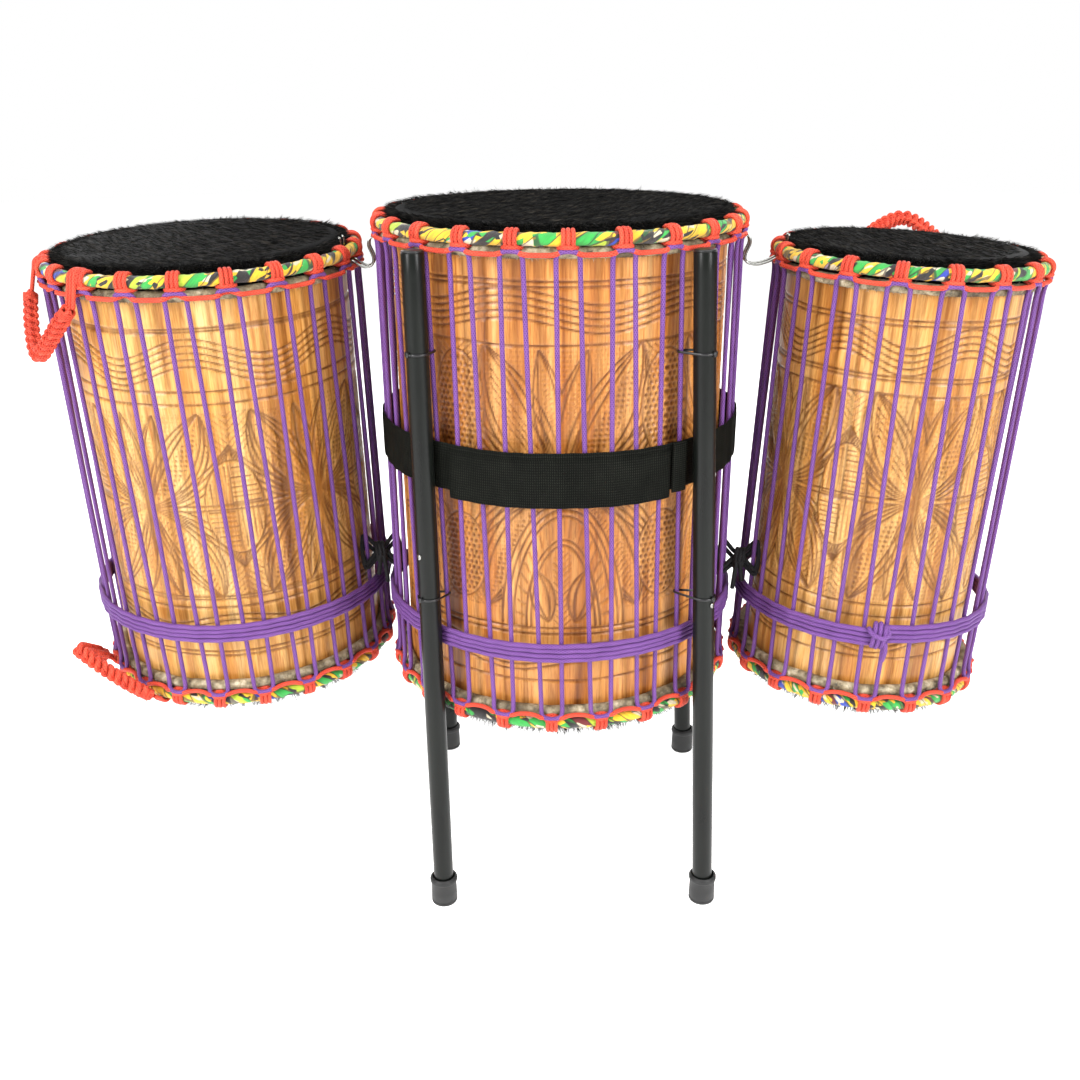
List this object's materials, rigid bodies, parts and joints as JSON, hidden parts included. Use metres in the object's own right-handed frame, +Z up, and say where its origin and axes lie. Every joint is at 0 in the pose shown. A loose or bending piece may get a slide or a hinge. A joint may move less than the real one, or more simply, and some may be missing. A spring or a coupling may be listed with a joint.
{
  "type": "set of hanging drums on a stand",
  "caption": "Double-headed rope-tuned wooden drums: one in a four-legged stand, two smaller ones hung from its ring on S-hooks.",
  "frame": {"origin": "on the floor under the middle of the whole set's bounding box", "axes": "+Z up, +X across the set from the left drum to the right drum, -Y to the front"},
  "size_m": [1.0497, 0.3906, 0.748],
  "materials": {
    "carved_wood": "oiled, carved",
    "cow_hide": "hair on, black",
    "steel_rod": "plain rod",
    "printed_cotton": "printed cotton",
    "coral_cord": "braided cord",
    "purple_rope": "braided low-stretch rope",
    "black_tube": "satin black",
    "black_rubber": "matte",
    "black_plastic": "moulded",
    "bright_steel": "bright zinc-plated wire",
    "black_webbing": "ribbed webbing",
    "black_elastic": "sheathed elastic cord"
  },
  "bodies": {
    "root": {"centre_shell": "carved_wood", "centre_top_head": "cow_hide", "centre_bottom_head": "cow_hide", "centre_top_flesh_hoop": "steel_rod", "centre_bottom_flesh_hoop": "steel_rod", "centre_top_crown_ring": "steel_rod", "centre_bottom_crown_ring": "steel_rod", "centre_top_ring_cloth": "printed_cotton", "centre_bottom_ring_cloth": "printed_cotton", "centre_top_lacing": "coral_cord", "centre_bottom_lacing": "coral_cord", "centre_tuning_rope": "purple_rope", "centre_tension_wraps": "purple_rope", "leg_front_left": "black_tube", "leg_front_right": "black_tube", "leg_rear_left": "black_tube", "leg_rear_right": "black_tube", "foot_front_left": "black_rubber", "foot_front_right": "black_rubber", "foot_rear_left": "black_rubber", "foot_rear_right": "black_rubber", "leg_top_plugs": "black_plastic", "leg_screws": "bright_steel", "leg_ties": "black_plastic", "strap": "black_webbing", "strap_keeper": "black_webbing"},
    "left_drum": {"left_shell": "carved_wood", "left_top_head": "cow_hide", "left_bottom_head": "cow_hide", "left_top_flesh_hoop": "steel_rod", "left_bottom_flesh_hoop": "steel_rod", "left_top_crown_ring": "steel_rod", "left_bottom_crown_ring": "steel_rod", "left_top_ring_cloth": "printed_cotton", "left_bottom_ring_cloth": "printed_cotton", "left_top_lacing": "coral_cord", "left_bottom_lacing": "coral_cord", "left_tuning_rope": "purple_rope", "left_tension_wraps": "purple_rope", "left_hooks": "bright_steel", "left_bungee": "black_elastic"},
    "right_drum": {"right_shell": "carved_wood", "right_top_head": "cow_hide", "right_bottom_head": "cow_hide", "right_top_flesh_hoop": "steel_rod", "right_bottom_flesh_hoop": "steel_rod", "right_top_crown_ring": "steel_rod", "right_bottom_crown_ring": "steel_rod", "right_top_ring_cloth": "printed_cotton", "right_bottom_ring_cloth": "printed_cotton", "right_top_lacing": "coral_cord", "right_bottom_lacing": "coral_cord", "right_tuning_rope": "purple_rope", "right_tension_wraps": "purple_rope", "right_hooks": "bright_steel", "right_bungee": "black_elastic"},
    "left_top_handle": {"left_top_handle": "coral_cord"},
    "left_bottom_handle": {"left_bottom_handle": "coral_cord"},
    "right_top_handle": {"right_top_handle": "coral_cord"}
  },
  "joints": [
    {"name": "left_drum_swing", "type": "hinge", "parent": "root", "child": "left_drum", "pos_m": [-0.167, 0, 0.7155], "axis": [0, 1, 0], "range_deg": [0, 12], "deforming": ["left_bungee"]},
    {"name": "right_drum_swing", "type": "hinge", "parent": "root", "child": "right_drum", "pos_m": [0.209, 0, 0.7155], "axis": [0, -1, 0], "range_deg": [0, 12], "deforming": ["right_bungee"]},
    {"name": "left_top_handle_flop", "type": "hinge", "parent": "left_drum", "child": "left_top_handle", "pos_m": [-0.48119, -0.10174, 0.67091], "axis": [-0.6696, 0.7425, 0.0194], "range_deg": [0, 120]},
    {"name": "left_bottom_handle_flop", "type": "hinge", "parent": "left_drum", "child": "left_bottom_handle", "pos_m": [-0.46774, -0.08214, 0.23952], "axis": [-0.6824, 0.7307, 0.0187], "range_deg": [-130, 12]},
    {"name": "right_top_handle_flop", "type": "hinge", "parent": "right_drum", "child": "right_top_handle", "pos_m": [0.41361, 0.13757, 0.69734], "axis": [0.9771, -0.2079, -0.0461], "range_deg": [-100, 45]}
  ]
}
